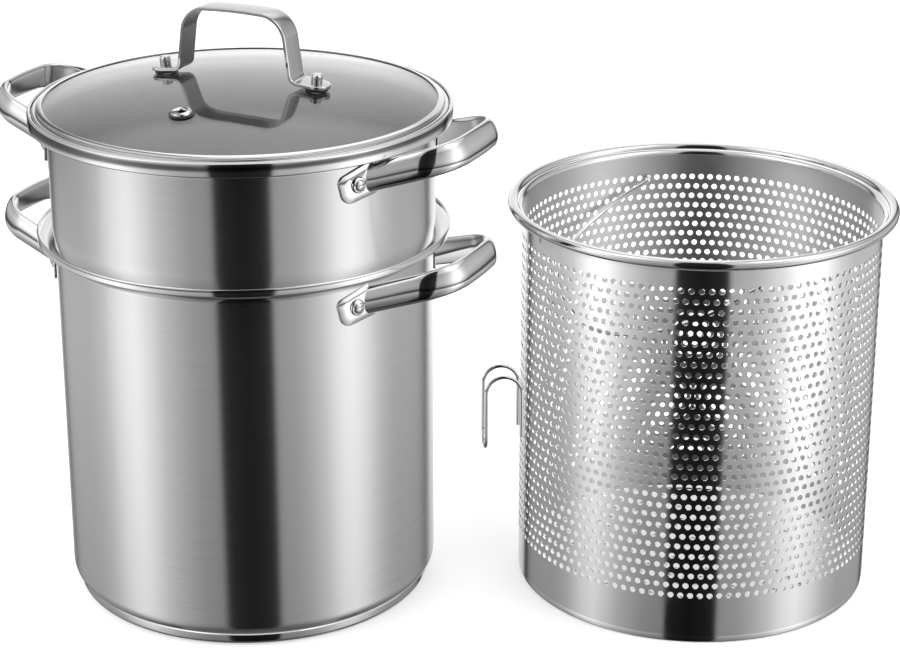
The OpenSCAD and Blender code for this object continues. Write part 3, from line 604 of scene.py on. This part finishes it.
for i, p in enumerate(line):
    t = (line[min(i + 1, len(line) - 1)] - line[max(i - 1, 0)]).normalized()
    normal = Vector((-t.y, t.x))
    # The ends of the strap are round
    past = max(0.0, abs(p.x) - strap_foot.x) / (strap_toe * slide.x)
    width = max(strap_w / 2 * sqrt(max(0.0, 1 - past ** 2)), 0.6)
    for face, order in ((1, across), (-1, across[::-1])):
        for u in order:
            edge = 0.3 if abs(u) == 1 else 0.06 if abs(u) == 0.97 else 0.0
            rise = strap_t / 2 - edge - (0.4 * u * u if face > 0 else 0.0)
            e = p + normal * rise * face
            verts.append(Vector((e.x, u * width, e.y)) / 1000)
turned = Matrix.Rotation(radians(handle_turn), 3, "Z")
strap = new_piece("lid_strap", [turned @ v for v in verts], [], capped_sleeve(len(line), 2 * len(across)))
close_up(40)

# Stainless steel ground along the strap: soft, short lines about 0.5 mm apart, too fine to count
ground = new_material("stainless steel, ground satin")
spot = add(ground, "ShaderNodeTexCoord")
flat = add(ground, "ShaderNodeMapping", Vector=spot.outputs["Object"], Rotation=(0, 0, radians(-handle_turn)),
           Scale=(60, 1600, 60))
lines = add(ground, "ShaderNodeTexNoise", Vector=flat.outputs[0], Scale=1.0, Detail=2.0)
grain = add(ground, "ShaderNodeMapRange", Value=lines.outputs["Fac"], From_Min=0.3, From_Max=0.7,
            To_Min=0.17, To_Max=0.23)
tone = add(ground, "ShaderNodeValToRGB", Fac=lines.outputs["Fac"], stops=[(0.3, 0.42), (0.7, 0.50)])
brush = add(ground, "ShaderNodeBump", Strength=0.03, Distance=0.0002, Height=lines.outputs["Fac"])
ground_shader = add(ground, "ShaderNodeBsdfPrincipled", Base_Color=tone.outputs["Color"], Metallic=1.0,
                    Roughness=grain.outputs[0], Normal=brush.outputs[0])
add(ground, "ShaderNodeOutputMaterial", Surface=ground_shader.outputs[0])
strap.data.materials.append(ground)
strap.data.materials.append(mirror)
# The edges are buffed
side_way = turned @ Vector((0, 1, 0))
for face in strap.data.polygons:
    if abs(face.normal.dot(side_way)) > 0.45:
        face.material_index = 1
stands_for(strap, "lid_handle")

# Bolts, washers and nuts: each bolt has a round head above the strap, and goes through a soft washer, the
# glass and a steel washer into a domed nut.
silicone = new_material("black silicone rubber")
spot = add(silicone, "ShaderNodeTexCoord")
bloom = add(silicone, "ShaderNodeTexNoise", Vector=spot.outputs["Object"], Scale=900.0, Detail=2.0)
matt = add(silicone, "ShaderNodeMapRange", Value=bloom.outputs["Fac"], From_Min=0.3, From_Max=0.7,
           To_Min=0.42, To_Max=0.56)
silicone_shader = add(silicone, "ShaderNodeBsdfPrincipled", Base_Color=linear("2b2b2c"),
                      Roughness=matt.outputs[0])
add(silicone, "ShaderNodeOutputMaterial", Surface=silicone_shader.outputs[0])

bolt_r, bolt_low, head_r, head_h, head_round = 2.5, -12.0, 3.5, 5.5, 1.5
washer_in, washer_out = bolt_r + seat_gap, 7.0
nut_size, nut_h, nut_z = 4.5, 4.0, -7.4
bolts, soft_washers, steel_washers, nuts = [], [], [], []
face_z = 2 * seat_gap + washer_t + strap_t + seat_gap
for turn in (handle_turn, handle_turn + 180):
    bolts.append(on_dome(spun("bolt", (
        [(0, bolt_low), (bolt_r, bolt_low), (bolt_r, face_z), (head_r - 0.1, face_z), (head_r, face_z + 0.2),
         (head_r, face_z + head_h - head_round)]
        + arc(head_r - head_round, face_z + head_h - head_round, head_round, 0, 90, 8)
        + [(0, face_z + head_h)]), steps=40, closed=False), bolt_at, turn))
    soft_washers.append(on_dome(spun("soft_washer", (
        [(washer_in, -3.0), (3.9, -3.0), (3.9, 0.1), (6.9, 0.1)] + arc(6.5, 1.1, 1.0, -90, 90, 8)
        + [(washer_in, 2.1)]), steps=48), bolt_at, turn))
    steel_washers.append(on_dome(spun("steel_washer", [
        (washer_in, -5.3), (washer_out - 0.2, -5.3), (washer_out, -5.1), (washer_out, -4.3),
        (washer_out - 0.2, -4.1), (washer_in, -4.1)], steps=48), bolt_at, turn))
    nut = spun("nut", [(0, -13.0), (1.6, -12.7), (2.9, -11.8), (3.6, -10.6), (3.8, -9.4), (0, -9.4)],
               steps=40, closed=False)
    bpy.ops.object.select_all(action="DESELECT")
    bpy.ops.mesh.primitive_cylinder_add(vertices=6, radius=nut_size / 1000, depth=nut_h / 1000,
                                        location=(0, 0, nut_z / 1000))
    hexagon = bpy.context.object
    bpy.ops.object.transform_apply(location=True)
    soft_edge = hexagon.modifiers.new("edge", "BEVEL")
    soft_edge.width = 0.0003
    soft_edge.segments = 2
    bpy.ops.object.modifier_apply(modifier="edge")
    nuts.append(on_dome(join("nut", [nut, hexagon]), bolt_at, turn))
stands_for(join("lid_bolt_heads", bolts), "lid_bolts", mirror)
stands_for(join("lid_soft_washers", soft_washers), "lid_washers", silicone)
stands_for(join("lid_steel_washers", steel_washers), "lid_inner_washers", mirror)
stands_for(join("lid_domed_nuts", nuts), "lid_nuts", mirror)

# Steam vent: a steel eyelet goes through the glass and is clenched below it. A thin soft seal lies under
# its flange.
seal = on_dome(spun("vent_ring", [(4.0, 0.1), (7.9, 0.1), (8.0, 0.5), (7.9, 0.9), (4.0, 0.9)], steps=48),
               vent_at, vent_turn)
stands_for(seal, "lid_vent_seal", silicone)
vent = on_dome(spun("vent_eyelet", [
    (3.0, -5.3), (5.9, -5.3), (6.0, -5.1), (6.0, -4.2), (3.9, -4.15), (3.9, 1.0), (6.4, 1.0), (6.5, 1.3),
    (5.9, 2.2), (4.6, 2.6), (3.5, 2.3), (3.0, 1.6)], steps=48), vent_at, vent_turn)
stands_for(vent, "lid_vent", mirror)

# Basket wall: 0.8 mm stainless sheet punched with 31 staggered rows of 4 mm holes, rolled to a cylinder,
# flared at the top round a thick bead, and polished.
basket_at = (292.0, 2.0)
basket_r, basket_h, basket_sheet = 115.0, 258.0, 0.8
basket_bead, basket_flare = 3.2, 3.0
holes_round, hole_rows, punch_r = 118, 31, 2.05
pivot_turn, pivot_drop = 103.0, 22.0
row_low, row_high = 33.0, basket_h - pivot_drop
wall_low, wall_foot, wall_top = 4.6, 20.0, 245.0
cell_w = 2 * pi * basket_r / holes_round
cell_h = (row_high - row_low) / (hole_rows - 1)
to_basket = Matrix.Translation((basket_at[0] / 1000, basket_at[1] / 1000, 0))

# One cell of the punched sheet, in mm: a hole and the eight faces round it
hole = [(punch_r * cos(pi / 8 + pi / 4 * k), punch_r * sin(pi / 8 + pi / 4 * k), 0) for k in range(8)]
cell_edge = [(x * cell_w, y * cell_h, 0) for x, y in [
    (0.5, 0.5), (0.0, 0.5), (-0.5, 0.5), (-0.5, 0.0), (-0.5, -0.5), (0.0, -0.5), (0.5, -0.5), (0.5, 0.0)]]
basket = new_piece("basket_sheet", hole + cell_edge, [],
                   [(k, 8 + k, 8 + (k + 1) % 8, (k + 1) % 8) for k in range(8)])


def repeat(piece, count, step):
    """Copies a piece in a line and welds the copies together."""
    array = piece.modifiers.new("repeat", "ARRAY")
    array.count = count
    array.use_relative_offset = False
    array.use_constant_offset = True
    array.constant_offset_displace = step
    array.use_merge_vertices = True
    array.merge_threshold = 0.02
    bpy.ops.object.modifier_apply(modifier="repeat")


repeat(basket, 2, (cell_w / 2, cell_h, 0))
repeat(basket, holes_round, (cell_w, 0, 0))
repeat(basket, (hole_rows + 1) // 2, (0, 2 * cell_h, 0))
# The rows come in pairs, so the last row is one too many
bpy.ops.object.mode_set(mode="EDIT")
bpy.ops.mesh.select_mode(type="VERT")
bpy.ops.mesh.select_all(action="DESELECT")
bpy.ops.object.mode_set(mode="OBJECT")
for v in basket.data.vertices:
    v.select = v.co.y > (hole_rows - 0.5) * cell_h + 0.01
bpy.ops.object.mode_set(mode="EDIT")
bpy.ops.mesh.delete(type="VERT")
bpy.ops.object.mode_set(mode="OBJECT")
# Rolled to a cylinder, with a hole of the top row at each pivot of the bail
for v in basket.data.vertices:
    angle = radians(pivot_turn) + v.co.x / basket_r
    v.co = Vector((basket_r * cos(angle), basket_r * sin(angle), row_low + v.co.y)) / 1000
bpy.ops.object.mode_set(mode="EDIT")
bpy.ops.mesh.select_all(action="SELECT")
bpy.ops.mesh.remove_doubles(threshold=2e-5)
bpy.ops.object.mode_set(mode="OBJECT")


def pull(level, targets):
    """Draws the basket's sheet on from its edge at a level, through (radius, height) points."""
    for r, z in targets:
        bpy.ops.object.mode_set(mode="EDIT")
        bpy.ops.mesh.select_mode(type="EDGE")
        bpy.ops.mesh.select_all(action="DESELECT")
        bpy.ops.object.mode_set(mode="OBJECT")
        for edge in basket.data.edges:
            edge.select = all(abs(basket.data.vertices[i].co.z * 1000 - level) < 0.002 for i in edge.vertices)
        bpy.ops.object.mode_set(mode="EDIT")
        bpy.ops.mesh.extrude_region_move(TRANSFORM_OT_translate={"value": (0, 0, (z - level) / 1000)})
        bpy.ops.object.mode_set(mode="OBJECT")
        for v in basket.data.vertices:
            if v.select:
                angle = atan2(v.co.y, v.co.x)
                v.co = Vector((r * cos(angle), r * sin(angle), z)) / 1000
        level = z


flare_z = basket_h - basket_bead - basket_flare - basket_sheet
pull(row_low - cell_h / 2, [(basket_r, wall_foot), (basket_r, wall_low)])
pull(row_high + cell_h / 2, [(basket_r, wall_top)]
     + arc(basket_r + basket_flare, flare_z, basket_flare, 180, 100, 6))
bpy.ops.object.mode_set(mode="EDIT")
bpy.ops.mesh.select_all(action="SELECT")
bpy.ops.mesh.normals_make_consistent(inside=False)
bpy.ops.object.mode_set(mode="OBJECT")
if sum(f.normal.x * f.center.x + f.normal.y * f.center.y for f in basket.data.polygons) < 0:
    basket.data.flip_normals()
skin = basket.modifiers.new("sheet", "SOLIDIFY")
skin.thickness = basket_sheet / 1000
skin.offset = -1
bpy.ops.object.modifier_apply(modifier="sheet")
basket.data.transform(to_basket)
bpy.ops.object.shade_smooth_by_angle(angle=radians(28))


def punched_finish(name, colour, smoothest, roughest):
    """A punched sheet is flat to the hand, but the punch leaves it a little uneven, so its gloss wavers."""
    finish = new_material(name)
    spot = add(finish, "ShaderNodeTexCoord")
    rolled = add(finish, "ShaderNodeTexNoise", Vector=spot.outputs["Object"], Scale=45.0, Detail=2.0)
    haze = add(finish, "ShaderNodeMapRange", Value=rolled.outputs["Fac"], From_Min=0.3, From_Max=0.7,
               To_Min=smoothest, To_Max=roughest)
    shader = add(finish, "ShaderNodeBsdfPrincipled", Base_Color=linear(colour), Metallic=1.0,
                 Roughness=haze.outputs[0])
    add(finish, "ShaderNodeOutputMaterial", Surface=shader.outputs[0])
    return finish


# The outside is polished, and the inside keeps the mill's softer finish
punched = punched_finish("stainless steel, punched and polished", "cbcbcc", 0.08, 0.13)
basket.data.materials.append(punched)
basket.data.materials.append(punched_finish("stainless steel, punched, mill finish", "bdbdbe", 0.34, 0.40))
for face in basket.data.polygons:
    at = face.center - to_basket.translation
    if hypot(at.x, at.y) * 1000 < basket_r - basket_sheet * 0.7:
        face.material_index = 1
stands_for(basket, "basket_wall", mirrored=False)

bead_r = basket_r + basket_flare + basket_bead - 0.2
bead = spun("basket_bead", arc(bead_r, basket_h - basket_bead, basket_bead, 0, 348.75, 31), steps=200,
            centre=basket_at)
stands_for(bead, "basket_wall", mirror, mirrored=False)

# Basket floor and foot: a punched disc of the same sheet, its edge folded down to a ring on which the
# wall is welded and the basket stands.
foot_top, foot_round, foot_edge = 4.5, 1.2, 0.4
floor_z, floor_pitch, floor_rings = 2.5, 10, 10
ring_out, ring_in = basket_r - 0.4, basket_r - 5
foot_ring = spun("foot_ring", (
    arc(ring_out - foot_round, foot_round, foot_round, -90, 0, 6)
    + arc(ring_out - foot_edge, foot_top - foot_edge, foot_edge, 0, 90, 4)
    + arc(ring_in + foot_edge, foot_top - foot_edge, foot_edge, 90, 180, 4)
    + arc(ring_in + foot_round, foot_round, foot_round, 180, 270, 6)), steps=200, centre=basket_at)
floor_disc = punched_disc("floor_disc", ring_in + 0.4, rings_of_holes(floor_pitch, floor_rings)[1:], punch_r,
                          floor_z, basket_sheet, basket_at)
stands_for(join("basket_foot", [foot_ring, floor_disc]), "basket_floor", punched,
           mirrored=False)


# Hook: one 2.4 mm stainless wire bent double. Its inner legs are welded to the wall, and its outer legs
# join in a bend, so that the basket can hang on a pot's edge.
def bent_wire(name, points, diameter):
    """A round wire of a diameter in mm along points in metres, closed at its ends."""
    curve = bpy.data.curves.new(name, "CURVE")
    curve.dimensions = "3D"
    curve.bevel_depth = diameter / 2000
    curve.bevel_resolution = 6
    curve.use_fill_caps = True
    spline = curve.splines.new("POLY")
    spline.points.add(len(points) - 1)
    for at, p in zip(spline.points, points):
        at.co = (p.x, p.y, p.z, 1)
    wire = bpy.data.objects.new(name, curve)
    scene.collection.objects.link(wire)
    only(wire)
    bpy.ops.object.convert(target="MESH")
    close_up(50, 1e-6)
    return bpy.context.object


hook_wire, hook_top, hook_len, hook_gap, hook_reach, hook_turn = 2.4, 144.0, 54.0, 20.0, 23.0, 185.0
bend_z = hook_top - hook_reach / 2 - hook_wire / 2
outer_leg = bend_z - hook_top + hook_len - (hook_gap + hook_wire) / 2
near = sqrt((basket_r + hook_wire / 2 + seat_gap) ** 2 - (hook_gap / 2) ** 2)
hook_half = ([Vector((near, -hook_gap / 2, bend_z - outer_leg - 0.5))]
             + [Vector((x, -hook_gap / 2, z))
                for x, z in arc(near + hook_reach / 2, bend_z, hook_reach / 2, 180, 0, 24)]
             + [Vector((near + hook_reach, y, z))
                for y, z in arc(0, bend_z - outer_leg, hook_gap / 2, 180, 270, 12)])
hook_route = hook_half + [Vector((p.x, -p.y, p.z)) for p in reversed(hook_half[:-1])]
hook_place = to_basket @ Matrix.Rotation(radians(hook_turn), 4, "Z")
hook = bent_wire("hook_wire", [hook_place @ (p / 1000) for p in hook_route], hook_wire)
stands_for(hook, "basket_hook", mirror, mirrored=False)

# Bail: a bow of 2.8 mm stainless wire that lies folded down inside the wall. Its ends are turned out
# through two opposite holes of the top row, and it swings in them.
bail_wire, bail_side, bail_lead, bail_bow, bail_bend = 2.8, 109.5, 9.0, 88.0, 2.5
bail_end, bail_fold = 3.4, 28.0
end_bend = rounded(Vector((0, basket_r)), Vector((0, bail_side)), Vector((bail_lead, bail_side)),
                   bail_bend, 8)
bail_half = ([Vector((0, basket_r + bail_end, 0))] + [Vector((p.x, p.y, 0)) for p in end_bend]
             + [Vector((x, y, 0)) for x, y in arc(bail_lead, bail_side - bail_bow, bail_bow, 90, 0, 40)])
bail_route = bail_half + [Vector((p.x, -p.y, 0)) for p in reversed(bail_half)]
bail_place = (to_basket @ Matrix.Translation((0, 0, (basket_h - pivot_drop) / 1000))
              @ Matrix.Rotation(radians(pivot_turn + 90), 4, "Z")
              @ Matrix.Rotation(radians(bail_fold), 4, "Y"))
bail = bent_wire("bail_bow", [bail_place @ (p / 1000) for p in bail_route], bail_wire)
stands_for(bail, "basket_bail", mirror)
